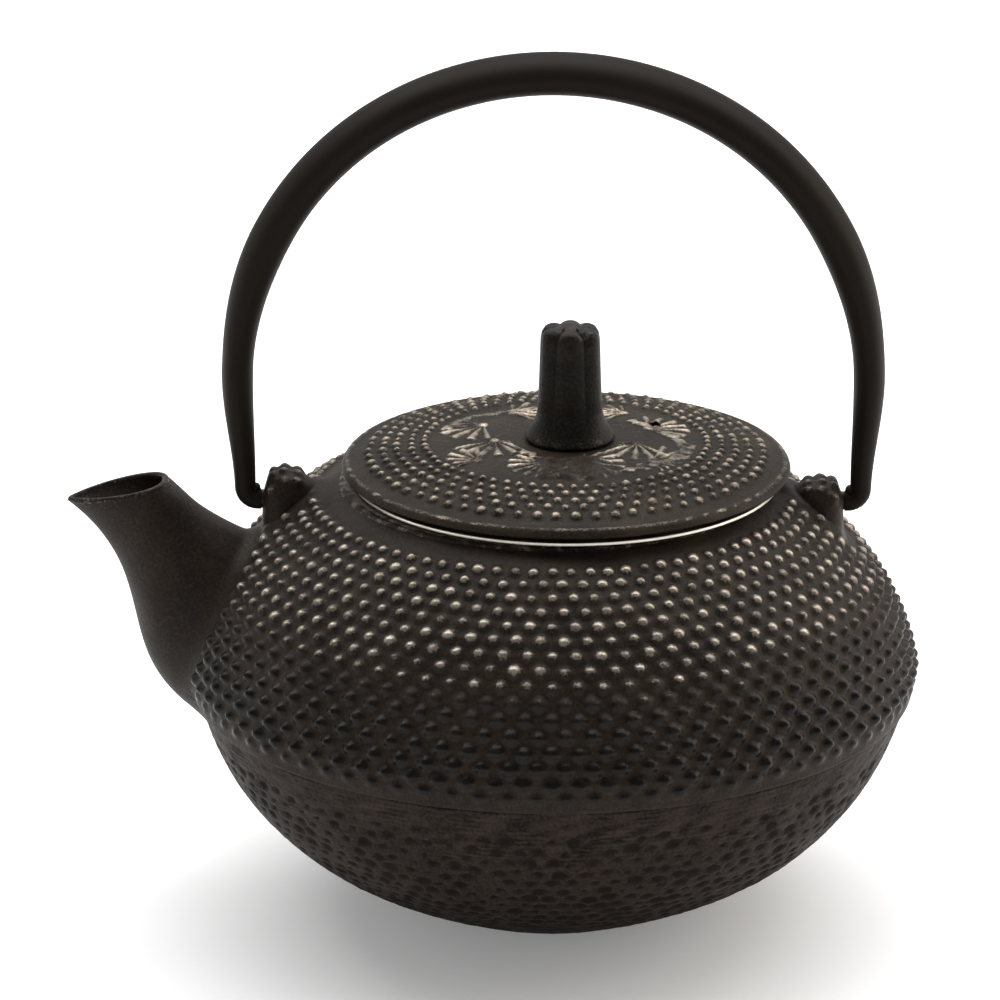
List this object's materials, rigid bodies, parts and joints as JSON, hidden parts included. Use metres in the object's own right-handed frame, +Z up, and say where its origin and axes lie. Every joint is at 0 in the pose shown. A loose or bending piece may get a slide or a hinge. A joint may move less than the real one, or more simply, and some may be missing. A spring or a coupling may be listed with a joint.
{
  "type": "teapot",
  "caption": "Squat cast-iron teapot with a bail handle hinged on its ears, a short spout, a lift-off lid with a fluted knob and a lift-out mesh infuser.",
  "frame": {"origin": "centre of the flat foot, on the pot's axis", "axes": "+Z up, -X along the spout, X along the bail's pivot line, +Y to the back"},
  "size_m": [0.1519, 0.1302, 0.1563],
  "materials": {
    "cast_iron": "matt black-brown lacquer over raw casting skin, worn pale on edges",
    "handle_steel": "satin black enamel",
    "stainless": "rolled and pressed sheet, lightly brushed",
    "stainless_mesh": "fine perforated stainless sheet"
  },
  "bodies": {
    "pot": {"pot_body": "cast_iron"},
    "bail": {"bail_handle": "handle_steel", "bail_pin_left": "handle_steel", "bail_pin_right": "handle_steel"},
    "infuser": {"infuser_rim": "stainless", "infuser_mesh_wall": "stainless_mesh", "infuser_base_ring": "stainless", "infuser_mesh_bottom": "stainless_mesh"},
    "lid": {"lid": "cast_iron", "lid_knob": "cast_iron", "knob_washer": "stainless", "knob_screw": "stainless"}
  },
  "joints": [
    {"name": "bail_swing", "type": "hinge", "parent": "pot", "child": "bail", "pos_m": [0, 0, 0.0748], "axis": [1, 0, 0], "range_deg": [-109, 109]},
    {"name": "infuser_lift", "type": "slide", "parent": "pot", "child": "infuser", "axis": [0, 0, 1], "range_m": [0, 0.0395]},
    {"name": "lid_lift", "type": "slide", "parent": "infuser", "child": "lid", "axis": [0, 0, 1], "range_m": [0, 0.038]}
  ]
}
